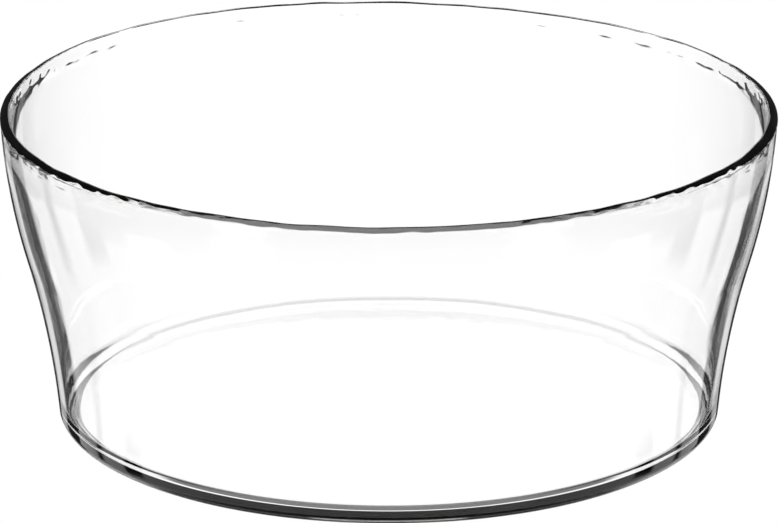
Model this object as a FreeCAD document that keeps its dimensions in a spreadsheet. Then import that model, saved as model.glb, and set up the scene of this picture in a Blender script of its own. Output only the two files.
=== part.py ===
import FreeCAD, Part
import math
import os

import Sketcher
from FreeCAD import Vector

# Crystallizing dish: one turned skin of clear glass, open at the top.
# +Z is the dish's axis, and the origin is the centre of the plane it rests on.

# Driving dimensions, in millimetres
DIMENSIONS = {
    "rim_diameter": 190.0,     # widest outside size, at the lip
    "height": 78.0,            # from the resting plane to the top of the lip
    "base_diameter": 164.0,    # outside size where the heel meets the wall
    "lip_thickness": 2.2,      # the lip is a full round of this thickness
    "wall_thickness": 1.8,     # lower wall, measured square to the glass
    "base_thickness": 2.8,     # from the resting plane to the floor inside
    "push_up": 0.6,            # hollow under the middle of the base
    "rest_diameter": 146.0,    # inner edge of the flat ring that the dish rests on
    "shoulder_radius": 157.0,  # outside of the upper wall, which bulges outward
    "shoulder_height": 85.3,   # height of the shoulder arc's centre, just above the lip
    "waist_radius": 223.0,     # outside of the lower wall, which curves inward
    "heel_radius": 3.0,        # outside round from the resting ring into the wall
    "floor_radius": 4.0,       # inside round from the floor into the wall
}

# Pieces of the outline, numbered in order round the glass
(RING, HEEL, WAIST, SHOULDER, LIP, INNER_SHOULDER, INNER_WAIST, INNER_HEEL,
 FLOOR, AXIS, UNDERSIDE) = range(11)

# Ends of a piece as the sketcher counts them, and the sketch's own origin and vertical axis
START, END, CENTRE = 1, 2, 3
SKETCH_ORIGIN = -1
SKETCH_AXIS = -2

# Which end of a piece runs smoothly into which end of the next
SMOOTH_JOINS = [
    (RING, END, HEEL, START),
    (HEEL, END, WAIST, END),
    (WAIST, START, SHOULDER, START),
    (SHOULDER, END, LIP, START),
    (LIP, END, INNER_SHOULDER, END),
    (INNER_SHOULDER, START, INNER_WAIST, START),
    (INNER_WAIST, END, INNER_HEEL, END),
    (INNER_HEEL, START, FLOOR, START),
]

# Which end of a piece meets which end of the next in a corner
CORNERS = [
    (FLOOR, END, AXIS, START),
    (AXIS, END, UNDERSIDE, END),
    (UNDERSIDE, START, RING, START),
]

# Radius of each arc
RADII = {
    HEEL: "Dimensions.heel_radius",
    WAIST: "Dimensions.waist_radius",
    SHOULDER: "Dimensions.shoulder_radius",
    LIP: "Dimensions.lip_thickness / 2",
    INNER_SHOULDER: "Dimensions.shoulder_radius - (Dimensions.lip_thickness + Dimensions.wall_thickness) / 2",
    INNER_WAIST: "Dimensions.waist_radius + Dimensions.wall_thickness",
    INNER_HEEL: "Dimensions.floor_radius",
}

# Distances from the origin: across (X) or up (Y) the sketch
PLACES = [
    ("DistanceX", LIP, CENTRE, "(Dimensions.rim_diameter - Dimensions.lip_thickness) / 2"),
    ("DistanceY", LIP, CENTRE, "Dimensions.height - Dimensions.lip_thickness / 2"),
    ("DistanceY", SHOULDER, CENTRE, "Dimensions.shoulder_height"),
    ("DistanceX", HEEL, CENTRE, "Dimensions.base_diameter / 2 - Dimensions.heel_radius"),
    ("DistanceX", RING, START, "Dimensions.rest_diameter / 2"),
    ("DistanceY", AXIS, START, "Dimensions.base_thickness"),
    ("DistanceY", AXIS, END, "Dimensions.push_up"),
]


def make_sheet(document):
    """Write the driving dimensions into the document's spreadsheet, each with its alias."""
    sheet = document.addObject("Spreadsheet::Sheet", "Dimensions")
    for row, (name, value) in enumerate(DIMENSIONS.items(), start=1):
        sheet.set(f"A{row}", name)
        sheet.set(f"B{row}", str(value))
        sheet.setAlias(f"B{row}", name)
    document.recompute()


def arc(centre, start, end):
    """An arc drawn anticlockwise about its centre, from start to end."""
    circle = Part.Circle(centre, Vector(0, 0, 1), (start - centre).Length)
    return Part.ArcOfCircle(circle, circle.parameter(start), circle.parameter(end))


def towards(centre, other, distance):
    """The point at the distance from centre, on the line from centre through other."""
    return centre + (other - centre).normalize() * distance


def crossing(first, first_distance, second, second_distance):
    """The point at the given distances from two centres, left of the way from first to second."""
    span = (second - first).Length
    along = (first_distance**2 - second_distance**2 + span**2) / (2 * span)
    aside = math.sqrt(first_distance**2 - along**2)
    left = Vector(first.y - second.y, second.x - first.x, 0).normalize()
    return towards(first, second, along) + left * aside


def beside(centre, height, distance):
    """The point at the height and at the distance from centre, on the side of the axis."""
    return Vector(centre.x - math.sqrt(distance**2 - (centre.y - height)**2), height, 0)


def outline():
    """Section of the glass through the axis: X is the radius and Y the height."""
    size = DIMENSIONS
    lip_r = size["lip_thickness"] / 2
    shoulder_r = size["shoulder_radius"]
    waist_r = size["waist_radius"]
    heel_r = size["heel_radius"]
    inner_shoulder_r = shoulder_r - (size["lip_thickness"] + size["wall_thickness"]) / 2
    inner_waist_r = waist_r + size["wall_thickness"]
    floor_z = size["base_thickness"]
    floor_r = size["floor_radius"]

    lip = Vector(size["rim_diameter"] / 2 - lip_r, size["height"] - lip_r, 0)
    heel = Vector(size["base_diameter"] / 2 - heel_r, heel_r, 0)
    shoulder = beside(lip, size["shoulder_height"], shoulder_r - lip_r)
    waist = crossing(shoulder, shoulder_r + waist_r, heel, waist_r + heel_r)
    inner_shoulder = crossing(waist, inner_waist_r + inner_shoulder_r, lip, inner_shoulder_r + lip_r)
    inner_heel = beside(waist, floor_z + floor_r, inner_waist_r + floor_r)

    ring_edge = Vector(size["rest_diameter"] / 2, 0, 0)
    ring_to_heel = Vector(heel.x, 0, 0)
    heel_to_waist = towards(heel, waist, heel_r)
    waist_to_shoulder = towards(shoulder, waist, shoulder_r)
    shoulder_to_lip = towards(shoulder, lip, shoulder_r)
    lip_to_inside = towards(lip, inner_shoulder, lip_r)
    inside_shoulder_to_waist = towards(inner_shoulder, waist, inner_shoulder_r)
    inside_waist_to_heel = towards(inner_heel, waist, floor_r)
    heel_to_floor = Vector(inner_heel.x, floor_z, 0)
    floor_middle = Vector(0, floor_z, 0)
    base_middle = Vector(0, size["push_up"], 0)
    underside_r = (ring_edge.x**2 + base_middle.y**2) / (2 * base_middle.y)
    underside = Vector(0, base_middle.y - underside_r, 0)
    return [
        Part.LineSegment(ring_edge, ring_to_heel),
        arc(heel, ring_to_heel, heel_to_waist),
        arc(waist, waist_to_shoulder, heel_to_waist),
        arc(shoulder, waist_to_shoulder, shoulder_to_lip),
        arc(lip, shoulder_to_lip, lip_to_inside),
        arc(inner_shoulder, inside_shoulder_to_waist, lip_to_inside),
        arc(waist, inside_shoulder_to_waist, inside_waist_to_heel),
        arc(inner_heel, heel_to_floor, inside_waist_to_heel),
        Part.LineSegment(heel_to_floor, floor_middle),
        Part.LineSegment(floor_middle, base_middle),
        arc(underside, ring_edge, base_middle),
    ]


def bind(sketch, constraint, formula):
    """Add a dimension to the sketch and drive it from the spreadsheet."""
    index = sketch.addConstraint(constraint)
    sketch.setExpression(f"Constraints[{index}]", formula)


def draw_section(body, plane):
    """The sketched section of the glass, fully constrained."""
    sketch = body.newObject("Sketcher::SketchObject", "GlassSection")
    sketch.AttachmentSupport = (plane, [""])
    sketch.MapMode = "FlatFace"
    sketch.addGeometry(outline(), False)
    for join in SMOOTH_JOINS:
        sketch.addConstraint(Sketcher.Constraint("Tangent", *join))
    for corner in CORNERS:
        sketch.addConstraint(Sketcher.Constraint("Coincident", *corner))
    sketch.addConstraint(Sketcher.Constraint("Horizontal", FLOOR))
    sketch.addConstraint(Sketcher.Constraint("Horizontal", RING))
    sketch.addConstraint(Sketcher.Constraint("PointOnObject", RING, START, SKETCH_ORIGIN))
    sketch.addConstraint(Sketcher.Constraint("PointOnObject", AXIS, START, SKETCH_AXIS))
    sketch.addConstraint(Sketcher.Constraint("PointOnObject", AXIS, END, SKETCH_AXIS))
    sketch.addConstraint(Sketcher.Constraint("PointOnObject", UNDERSIDE, CENTRE, SKETCH_AXIS))
    sketch.addConstraint(Sketcher.Constraint("Coincident", INNER_WAIST, CENTRE, WAIST, CENTRE))
    for piece, formula in RADII.items():
        radius = sketch.Geometry[piece].Radius
        bind(sketch, Sketcher.Constraint("Radius", piece, radius), formula)
    for kind, piece, end, formula in PLACES:
        point = sketch.getPoint(piece, end)
        distance = point.x if kind == "DistanceX" else point.y
        bind(sketch, Sketcher.Constraint(kind, SKETCH_ORIGIN, START, piece, end, distance), formula)
    return sketch


def make_dish(document):
    """The dish: its section turned once round the axis."""
    body = document.addObject("PartDesign::Body", "Dish")
    body.Label = "dish"
    body.Placement = FreeCAD.Placement()
    plane = next(item for item in body.Origin.OriginFeatures if item.Role == "XZ_Plane")
    sketch = draw_section(body, plane)
    turned = body.newObject("PartDesign::Revolution", "TurnedGlass")
    turned.Profile = sketch
    turned.ReferenceAxis = (sketch, ["V_Axis"])
    turned.Angle = 360.0
    sketch.Visibility = False
    document.recompute()
    if sketch.solve() != 0 or not sketch.FullyConstrained:
        raise RuntimeError("the glass section is not fully constrained")
    return body


def check(document, subparts):
    """Stop if any object failed, or a sub-part has no sound solid."""
    for item in document.Objects:
        if "Invalid" in item.State or "Error" in item.State:
            raise RuntimeError(f"{item.Name} failed: {item.State}")
    for part in subparts:
        if part.Shape.isNull() or not part.Shape.isValid():
            raise RuntimeError(f"{part.Label} has no sound shape")


document = FreeCAD.newDocument("CrystallizingDish")
make_sheet(document)
subparts = [make_dish(document)]
check(document, subparts)

os.makedirs("parts", exist_ok=True)
for part in subparts:
    part.Shape.exportStep(f"parts/{part.Label}.step")
    box = part.Shape.optimalBoundingBox()
    print(part.Label, f"{box.XLength:.2f} x {box.YLength:.2f} x {box.ZLength:.2f} mm,",
          f"volume {part.Shape.Volume / 1000:.1f} ml of glass")
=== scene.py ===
import math

import bpy
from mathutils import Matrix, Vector, noise


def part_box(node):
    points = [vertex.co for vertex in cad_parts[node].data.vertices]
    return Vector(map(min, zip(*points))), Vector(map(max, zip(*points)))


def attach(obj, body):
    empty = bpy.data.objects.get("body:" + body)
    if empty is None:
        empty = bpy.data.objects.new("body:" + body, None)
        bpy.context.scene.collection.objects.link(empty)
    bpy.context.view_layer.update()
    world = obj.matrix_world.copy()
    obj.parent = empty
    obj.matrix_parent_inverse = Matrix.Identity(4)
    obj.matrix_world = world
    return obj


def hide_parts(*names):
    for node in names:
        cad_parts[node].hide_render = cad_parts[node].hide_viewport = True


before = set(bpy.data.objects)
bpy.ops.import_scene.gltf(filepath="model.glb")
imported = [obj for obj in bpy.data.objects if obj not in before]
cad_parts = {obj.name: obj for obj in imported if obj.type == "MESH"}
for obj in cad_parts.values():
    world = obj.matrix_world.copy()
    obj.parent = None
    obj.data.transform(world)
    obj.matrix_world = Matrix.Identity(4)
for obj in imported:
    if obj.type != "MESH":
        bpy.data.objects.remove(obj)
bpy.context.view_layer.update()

# Crystallizing dish of clear glass, on a pale floor in soft studio light. All lengths are in metres.

MM = 0.001
DISH_LOW, DISH_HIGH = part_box("dish")

# Section of the glass. Its outside size comes from the frame, and its arcs repeat the design.
RIM_RADIUS = (DISH_HIGH[0] - DISH_LOW[0]) / 2
HEIGHT = DISH_HIGH[2] - DISH_LOW[2]
BASE_RADIUS = 82.0 * MM
LIP_THICKNESS = 2.2 * MM    # of the design's full round, which the outside arc runs into
WALL_THICKNESS = 1.7 * MM
BASE_THICKNESS = 2.8 * MM
PUSH_UP = 0.6 * MM
REST_RADIUS = 73.0 * MM
SHOULDER_RADIUS = 157.0 * MM
SHOULDER_HEIGHT = 85.3 * MM
WAIST_RADIUS = 223.0 * MM
HEEL_RADIUS = 3.0 * MM
FLOOR_RADIUS = 4.0 * MM

# The fire-polished lip
BEAD_EXTRA = 1.75 * MM      # how much thicker than the wall the very top would be
BEAD_FADE = 3.2 * MM        # depth over which that falls to about a third
OUTER_LIP = 1.0 * MM        # height of the lip's slope on the outside
INNER_LIP = 2.6 * MM        # height of its round on the inside
CREST_SHARE = 0.9           # where its crest lies, from the outside (0) to the inside (1)
OUTER_BEVEL = 1.3           # 1 is a quarter ellipse, more is closer to a straight bevel

# The unevenness of hand-worked glass: turns and widths in degrees, a size as (round the rim, up the wall)
RIM_RISE, RISE_TURN, RISE_WIDTH = 1.15 * MM, 138, 62
RIM_DIP, DIP_TURN, DIP_WIDTH = 0.35 * MM, 62, 40
CREST_WAVES, CREST_WAVE_LENGTH = 0.25 * MM, 9 * MM
CREST_DEPTH = 2.5 * MM
BEAD_WAVES, BEAD_WAVE_SIZE = 0.12 * MM, (3.6 * MM, 1.3 * MM)
BEAD_DEPTH, BEAD_SPREAD = 2.4 * MM, 1.5 * MM
WALL_WAVES, WALL_WAVE_SIZE = 0.05 * MM, (26 * MM, 30 * MM)
WALL_START = 12 * MM
CREST_SEED, BEAD_SEED, OUTSIDE_SEED, INSIDE_SEED = 3.0, 5.0, 7.0, 11.0

TURN_STEPS = 1080           # steps of the turned mesh round the axis


# ---------------------------------------------------------------------------------------------
# The outline, in the plane (radius, height)
# ---------------------------------------------------------------------------------------------
def towards(centre, other, distance):
    """The point at the distance from centre, on the line from centre through other."""
    return centre + (other - centre).normalized() * distance


def crossing(first, first_distance, second, second_distance):
    """The point at the given distances from two centres, left of the way from first to second."""
    span = (second - first).length
    along = (first_distance**2 - second_distance**2 + span**2) / (2 * span)
    aside = math.sqrt(first_distance**2 - along**2)
    way = (second - first).normalized()
    return first + way * along + Vector((-way.y, way.x)) * aside


def beside(centre, height, distance):
    """The point at the height and at the distance from centre, on the side of the axis."""
    return Vector((centre.x - math.sqrt(distance**2 - (centre.y - height)**2), height))


def arc_points(centre, start, end, steps, clockwise=False):
    """Points along the arc about the centre from start to end, without its last point."""
    radius = (start - centre).length
    first = math.atan2(start.y - centre.y, start.x - centre.x)
    last = math.atan2(end.y - centre.y, end.x - centre.x)
    sweep = (last - first) % (2 * math.pi)
    if clockwise:
        sweep -= 2 * math.pi
    turns = [first + sweep * i / steps for i in range(steps)]
    return [centre + Vector((math.cos(turn), math.sin(turn))) * radius for turn in turns]


def line_points(start, end, steps):
    """Points along the straight line from start to end, without its last point."""
    return [start.lerp(end, i / steps) for i in range(steps)]


def thickness(depth):
    """Thickness of the wall at the depth below the top: even, but for a bead that fades out."""
    return WALL_THICKNESS + BEAD_EXTRA * math.exp(-depth / BEAD_FADE)


def inside_of(centre, point, outward):
    """The point of the inside surface that lies across the glass from the point of the outside."""
    square = (point - centre).normalized() * outward
    return point - square * thickness(HEIGHT - point.y)


def lip_points(outside, inside, steps):
    """The fire-polished top of the lip, from the outside over its crest to the inside, less its ends."""
    crest = outside.x + (inside.x - outside.x) * CREST_SHARE
    points = []
    for step in range(1, steps):
        turn = math.pi / 2 * step / steps
        points.append(Vector((crest + (outside.x - crest) * math.cos(turn)**OUTER_BEVEL,
                              outside.y + (HEIGHT - outside.y) * math.sin(turn)**OUTER_BEVEL)))
    for step in range(steps):
        turn = math.pi / 2 * (1 - step / steps)
        points.append(Vector((crest + (inside.x - crest) * math.cos(turn),
                              inside.y + (HEIGHT - inside.y) * math.sin(turn))))
    return points


def glass_outline():
    """Closed section of the glass, from the middle of the underside round to the middle of the floor."""
    inner_waist_r = WAIST_RADIUS + WALL_THICKNESS
    lip_r = LIP_THICKNESS / 2

    lip = Vector((RIM_RADIUS - lip_r, HEIGHT - lip_r))
    heel = Vector((BASE_RADIUS - HEEL_RADIUS, HEEL_RADIUS))
    shoulder = beside(lip, SHOULDER_HEIGHT, SHOULDER_RADIUS - lip_r)
    waist = crossing(shoulder, SHOULDER_RADIUS + WAIST_RADIUS, heel, WAIST_RADIUS + HEEL_RADIUS)
    inner_heel = beside(waist, BASE_THICKNESS + FLOOR_RADIUS, inner_waist_r + FLOOR_RADIUS)

    base_middle = Vector((0, PUSH_UP))
    ring_edge = Vector((REST_RADIUS, 0))
    underside = Vector((0, PUSH_UP - (REST_RADIUS**2 + PUSH_UP**2) / (2 * PUSH_UP)))
    ring_to_heel = Vector((heel.x, 0))
    heel_to_waist = towards(heel, waist, HEEL_RADIUS)
    waist_to_shoulder = towards(shoulder, waist, SHOULDER_RADIUS)
    below_lip = Vector((RIM_RADIUS, HEIGHT - OUTER_LIP))
    shoulder_top = towards(shoulder, below_lip, SHOULDER_RADIUS)
    inside_waist_to_heel = towards(inner_heel, waist, FLOOR_RADIUS)
    heel_to_floor = Vector((inner_heel.x, BASE_THICKNESS))
    floor_middle = Vector((0, BASE_THICKNESS))

    lower_wall = arc_points(waist, heel_to_waist, waist_to_shoulder, 30, clockwise=True)
    upper_wall = arc_points(shoulder, waist_to_shoulder, shoulder_top, 80) + [shoulder_top]
    inside = [inside_of(shoulder, point, 1) for point in reversed(upper_wall)]
    inside = [point for point in inside if point.y < HEIGHT - INNER_LIP]
    inside += [inside_of(waist, point, -1) for point in reversed(lower_wall)
               if point.y > inside_waist_to_heel.y + 0.5 * MM]

    points = arc_points(underside, base_middle, ring_edge, 12, clockwise=True)
    points += line_points(ring_edge, ring_to_heel, 3)
    points += arc_points(heel, ring_to_heel, heel_to_waist, 12)
    points += lower_wall + upper_wall
    points += lip_points(upper_wall[-1], inside[0], 14)
    points += inside
    points += arc_points(inner_heel, inside_waist_to_heel, heel_to_floor, 12, clockwise=True)
    points += line_points(heel_to_floor, floor_middle, 10)
    return points, floor_middle


# ---------------------------------------------------------------------------------------------
# The small unevenness of hand-worked glass
# ---------------------------------------------------------------------------------------------
def fade(low, high, value):
    """0 at low, 1 at high, smooth between."""
    share = min(1.0, max(0.0, (value - low) / (high - low)))
    return share * share * (3 - 2 * share)


def hump(turn, middle, width):
    """1 at the middle of a stretch of the rim, falling to 0 at the width to both sides; in degrees."""
    away = abs((math.degrees(turn) - middle + 180) % 360 - 180)
    return fade(width, 0, away)


def wave(turn, height, size, seed):
    """Smooth random waves about 0 over the turned surface, of the size round the rim and up the wall."""
    around = RIM_RADIUS / size[0]
    place = Vector((around * math.cos(turn), around * math.sin(turn), height / size[1] + seed))
    return noise.noise(place)


def uneven(point, turn, is_inside):
    """Radius and height of the outline's point at the turn, moved by the unevenness of the glass."""
    depth = HEIGHT - point.y
    radius = point.x
    height = point.y
    high = fade(0.45 * HEIGHT, HEIGHT, height)
    height += high * RIM_RISE * hump(turn, RISE_TURN, RISE_WIDTH)
    height -= high * RIM_DIP * hump(turn, DIP_TURN, DIP_WIDTH)
    crest = fade(CREST_DEPTH, 0, depth)
    height += crest * CREST_WAVES * wave(turn, 0, (CREST_WAVE_LENGTH, 1), CREST_SEED)
    if point.y > BASE_THICKNESS:
        wall = fade(BASE_THICKNESS, WALL_START, height)
        wall_seed = INSIDE_SEED if is_inside else OUTSIDE_SEED
        radius += wall * WALL_WAVES * wave(turn, height, WALL_WAVE_SIZE, wall_seed)
        if is_inside:
            bead = math.exp(-((depth - BEAD_DEPTH) / BEAD_SPREAD)**2)
            radius += bead * BEAD_WAVES * wave(turn, height, BEAD_WAVE_SIZE, BEAD_SEED)
    return radius, height


# ---------------------------------------------------------------------------------------------
# The dish
# ---------------------------------------------------------------------------------------------
def turned_mesh(name, outline, last):
    """Turn the outline round the axis. Its first point and the last one lie on the axis."""
    rings = outline[1:]
    crest = max(range(len(rings)), key=lambda index: rings[index].y)
    vertices = [(0, 0, outline[0].y)]
    for index, point in enumerate(rings):
        for step in range(TURN_STEPS):
            turn = 2 * math.pi * step / TURN_STEPS
            radius, height = uneven(point, turn, index > crest)
            vertices.append((radius * math.cos(turn), radius * math.sin(turn), height))
    vertices.append((0, 0, last.y))
    top = len(vertices) - 1

    def corner(ring, step):
        """Number of the ring's vertex at the step."""
        return 1 + ring * TURN_STEPS + step % TURN_STEPS

    faces = []
    for step in range(TURN_STEPS):
        faces.append((0, corner(0, step + 1), corner(0, step)))
        for ring in range(len(rings) - 1):
            faces.append((corner(ring, step), corner(ring, step + 1),
                          corner(ring + 1, step + 1), corner(ring + 1, step)))
        faces.append((corner(len(rings) - 1, step), corner(len(rings) - 1, step + 1), top))
    mesh = bpy.data.meshes.new(name)
    mesh.from_pydata(vertices, [], faces)
    mesh.polygons.foreach_set("use_smooth", [True] * len(mesh.polygons))
    mesh.update()
    return mesh


def make_dish():
    """The dish, in place of the design's own solid."""
    outline, last = glass_outline()
    dish = bpy.data.objects.new("glass_dish", turned_mesh("glass_dish", outline, last))
    bpy.context.collection.objects.link(dish)
    dish.data.materials.append(clear_glass())
    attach(dish, "root")
    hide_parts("dish")
    return dish


def clear_glass():
    """Clear borosilicate glass, with the faint ripple and haze of a fire-polished surface."""
    material = bpy.data.materials.new("clear_glass")
    material.use_nodes = True
    nodes = material.node_tree.nodes
    links = material.node_tree.links
    shader = nodes["Principled BSDF"]
    shader.inputs["Base Color"].default_value = (1.0, 1.0, 1.0, 1.0)
    shader.inputs["Transmission Weight"].default_value = 1.0
    shader.inputs["IOR"].default_value = 1.474
    place = nodes.new("ShaderNodeTexCoord").outputs["Object"]

    haze = nodes.new("ShaderNodeTexNoise")
    haze.inputs["Scale"].default_value = 60.0
    haze.inputs["Detail"].default_value = 4.0
    links.new(place, haze.inputs["Vector"])
    share = nodes.new("ShaderNodeMapRange")
    share.inputs["From Min"].default_value = 0.45
    share.inputs["From Max"].default_value = 0.80
    share.inputs["To Min"].default_value = 0.0
    share.inputs["To Max"].default_value = 0.03
    links.new(haze.outputs["Fac"], share.inputs["Value"])
    links.new(share.outputs["Result"], shader.inputs["Roughness"])

    stretch = nodes.new("ShaderNodeMapping")
    stretch.inputs["Scale"].default_value = (1.0, 1.0, 0.35)
    links.new(place, stretch.inputs["Vector"])
    ripple = nodes.new("ShaderNodeTexNoise")
    ripple.inputs["Scale"].default_value = 110.0
    ripple.inputs["Detail"].default_value = 2.0
    links.new(stretch.outputs["Vector"], ripple.inputs["Vector"])
    bump = nodes.new("ShaderNodeBump")
    bump.inputs["Strength"].default_value = 1.0
    bump.inputs["Distance"].default_value = 0.012 * MM
    links.new(ripple.outputs["Fac"], bump.inputs["Height"])
    links.new(bump.outputs["Normal"], shader.inputs["Normal"])
    return material


# ---------------------------------------------------------------------------------------------
# Floor
# ---------------------------------------------------------------------------------------------
FLOOR_HALF = 60.0
FLOOR_DROP = 0.1 * MM  # keeps the floor clear of the ring that the dish stands on


def make_floor():
    """A wide white floor, which the glass itself neither shows nor mirrors."""
    size = FLOOR_HALF
    mesh = bpy.data.meshes.new("floor")
    corners = [(-size, -size, 0), (size, -size, 0), (size, size, 0), (-size, size, 0)]
    mesh.from_pydata(corners, [], [(0, 1, 2, 3)])
    floor = bpy.data.objects.new("floor", mesh)
    bpy.context.collection.objects.link(floor)
    material = bpy.data.materials.new("floor")
    material.use_nodes = True
    shader = material.node_tree.nodes["Principled BSDF"]
    shader.inputs["Base Color"].default_value = (0.0, 0.0, 0.0, 1.0)
    shader.inputs["Roughness"].default_value = 1.0
    shader.inputs["Specular IOR Level"].default_value = 0.0
    shader.inputs["Emission Color"].default_value = (1.0, 1.0, 1.0, 1.0)
    shader.inputs["Emission Strength"].default_value = 1.0
    mesh.materials.append(material)
    floor.location.z = -FLOOR_DROP
    floor.visible_transmission = False
    floor.visible_glossy = False
    return floor


# ---------------------------------------------------------------------------------------------
# Studio: what the glass shows. Each stop is (elevation in degrees, brightness), from below upward.
# ---------------------------------------------------------------------------------------------
LOWEST = [(-90, 0.2), (-50, 0.15)]
HIGHEST = [(54, 0.5), (90, 0.5)]

# The lights behind the dish as seen from its main side
MIDDLE = [(-41, 1.1), (-10, 1.1), (-8.5, 0.06), (-5.6, 0.06), (-5, 1.1), (-1.5, 1.1), (-0.9, 0.06),
          (11, 0.06), (13.5, 1.1), (30, 1.1), (34, 0.06), (44, 0.06)]
# A dark strip beside a light. Low down it is bright, like every part of the studio.
DARK_STRIP = [(-46, 1.0), (-31, 1.0), (-28.5, 0.04), (44, 0.05)]
# The softer light outside the first pair of strips
GLOW = [(-46, 1.0), (-31, 1.0), (-25, 0.8), (-14, 0.8), (-11, 0.05), (44, 0.05)]
# The lights behind the dish as seen from its corners and sides
FAR_CORNER = [(-46, 1.14), (-20, 1.14), (-18, 0.05), (18, 0.05), (21, 1.14), (31, 1.14), (34, 0.05),
              (44, 0.05)]
SIDE = [(-46, 1.0), (-28, 1.0), (-25, 0.04), (-8, 0.04), (-7, 1.1), (-0.5, 1.1), (0.5, 0.05), (44, 0.05)]
NEAR_CORNER = [(-46, 1.14), (-10, 1.14), (-8, 0.05), (11, 0.05), (13, 1.14), (21, 1.14), (24, 0.4),
               (44, 0.4)]
# The rest of the half that the main side faces
NEAR = [(-46, 1.0), (-28, 1.0), (-25, 0.04), (14, 0.05), (20, 0.3), (44, 0.4)]

# Going round from the middle to either side, in degrees: where one brightness blends into the next
SECTORS = [
    ((8.5, 9.5), DARK_STRIP),
    ((15.5, 17.0), GLOW),
    ((24.0, 27.0), DARK_STRIP),
    ((38.5, 40.5), FAR_CORNER),
    ((52.0, 56.0), DARK_STRIP),
    ((56.0, 60.0), FAR_CORNER),
    ((70.0, 73.0), DARK_STRIP),
    ((80.0, 83.0), SIDE),
    ((97.0, 100.0), NEAR),
    ((123.0, 130.0), NEAR_CORNER),
    ((140.0, 147.0), NEAR),
]


def graph_math(nodes, links, operation, *values):
    """The operation on numbers or sockets, in their order."""
    node = nodes.new("ShaderNodeMath")
    node.operation = operation
    for socket, value in zip(node.inputs, values):
        if isinstance(value, (int, float)):
            socket.default_value = value
        else:
            links.new(value, socket)
    return node.outputs[0]


def graph_ramp(nodes, links, value, sector):
    """Brightness at the elevation, which is in degrees, in the sector."""
    stops = LOWEST + sector + HIGHEST
    place = graph_math(nodes, links, "MULTIPLY_ADD", value, 1 / 180, 0.5)
    ramp = nodes.new("ShaderNodeValToRGB")
    while len(ramp.color_ramp.elements) < len(stops):
        ramp.color_ramp.elements.new(0.5)
    for element, (degrees, light) in zip(ramp.color_ramp.elements, stops):
        element.position = degrees / 180 + 0.5
        element.color = (light, light, light, 1.0)
    links.new(place, ramp.inputs[0])
    return ramp.outputs[0]


def graph_edge(nodes, links, value, edge):
    """0 below the edge, 1 above it, smooth between."""
    node = nodes.new("ShaderNodeMapRange")
    node.interpolation_type = "SMOOTHSTEP"
    node.inputs["From Min"].default_value, node.inputs["From Max"].default_value = edge
    links.new(value, node.inputs["Value"])
    return node.outputs["Result"]


def graph_mix(nodes, links, share, low, high):
    """From low at share 0 to high at share 1."""
    node = nodes.new("ShaderNodeMix")
    node.data_type = "RGBA"
    links.new(share, node.inputs["Factor"])
    links.new(low, node.inputs["A"])
    links.new(high, node.inputs["B"])
    return node.outputs["Result"]


def make_world():
    """Plain white where the camera looks past the glass, and the studio's lights for all else."""
    world = bpy.data.worlds.new("studio")
    world.use_nodes = True
    nodes = world.node_tree.nodes
    links = world.node_tree.links
    direction = nodes.new("ShaderNodeTexCoord").outputs["Generated"]
    split = nodes.new("ShaderNodeSeparateXYZ")
    links.new(direction, split.inputs[0])
    across, along, up = split.outputs
    tilt = graph_math(nodes, links, "ARCSINE", up)
    elevation = graph_math(nodes, links, "MULTIPLY", tilt, math.degrees(1))
    bearing = graph_math(nodes, links, "ARCTAN2", across, along)
    azimuth = graph_math(nodes, links, "MULTIPLY", bearing, math.degrees(1))
    aside = graph_math(nodes, links, "ABSOLUTE", azimuth)
    light = graph_ramp(nodes, links, elevation, MIDDLE)
    for edge, sector in SECTORS:
        share = graph_edge(nodes, links, aside, edge)
        light = graph_mix(nodes, links, share, light, graph_ramp(nodes, links, elevation, sector))
    seen_in_glass = nodes["Background"]
    links.new(light, seen_in_glass.inputs["Color"])
    plain = nodes.new("ShaderNodeBackground")
    plain.inputs["Color"].default_value = (1.0, 1.0, 1.0, 1.0)
    choice = nodes.new("ShaderNodeMixShader")
    links.new(nodes.new("ShaderNodeLightPath").outputs["Is Camera Ray"], choice.inputs[0])
    links.new(seen_in_glass.outputs[0], choice.inputs[1])
    links.new(plain.outputs[0], choice.inputs[2])
    links.new(choice.outputs[0], nodes["World Output"].inputs[0])
    bpy.context.scene.world = world


# ---------------------------------------------------------------------------------------------
# Camera
# ---------------------------------------------------------------------------------------------
CAMERA_PLACE = (0.0, -1.33, 0.4887)
CAMERA_TILT = math.radians(90 - 18.71)  # it looks down by 18.71 degrees
CAMERA_LENS = 262.95
CAMERA_SHIFT = 0.0008


def make_camera():
    """The camera of the main view."""
    data = bpy.data.cameras.new("camera")
    data.sensor_width = 36.0
    data.lens = CAMERA_LENS
    data.shift_x = CAMERA_SHIFT
    camera = bpy.data.objects.new("camera", data)
    bpy.context.collection.objects.link(camera)
    camera.location = CAMERA_PLACE
    camera.rotation_euler = (CAMERA_TILT, 0, 0)
    data.clip_start = 0.05
    data.clip_end = 100.0
    bpy.context.scene.camera = camera


bpy.context.scene.view_settings.view_transform = "Standard"
make_camera()
make_world()
make_floor()
make_dish()
